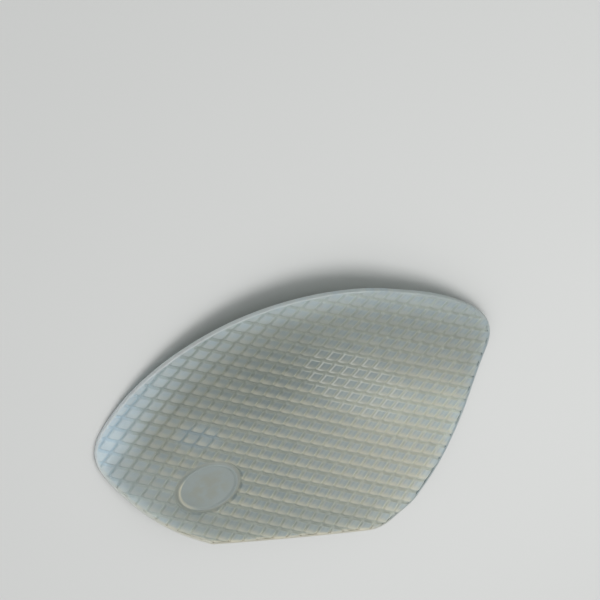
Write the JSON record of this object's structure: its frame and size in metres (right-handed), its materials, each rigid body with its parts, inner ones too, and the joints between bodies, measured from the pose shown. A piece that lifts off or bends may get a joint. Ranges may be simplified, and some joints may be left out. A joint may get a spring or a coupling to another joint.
{
  "type": "motorcycle tank pad",
  "caption": "Thin clear pad, bent to a slight saddle, with a grid of raised square studs, a smooth rim and a plain ring in a round clearing.",
  "frame": {"origin": "middle of the pad's footprint, on the surface that it lies on", "axes": "+X along the stud rows, away from the long rounded side; +Y across the rows, away from the round clearing; +Z out of the studded face"},
  "size_m": [0.2142, 0.1948, 0.0153],
  "materials": {
    "clear_pad": "satin, clear and slightly milky"
  },
  "bodies": {
    "root": {"tank_pad": "clear_pad"}
  },
  "joints": []
}
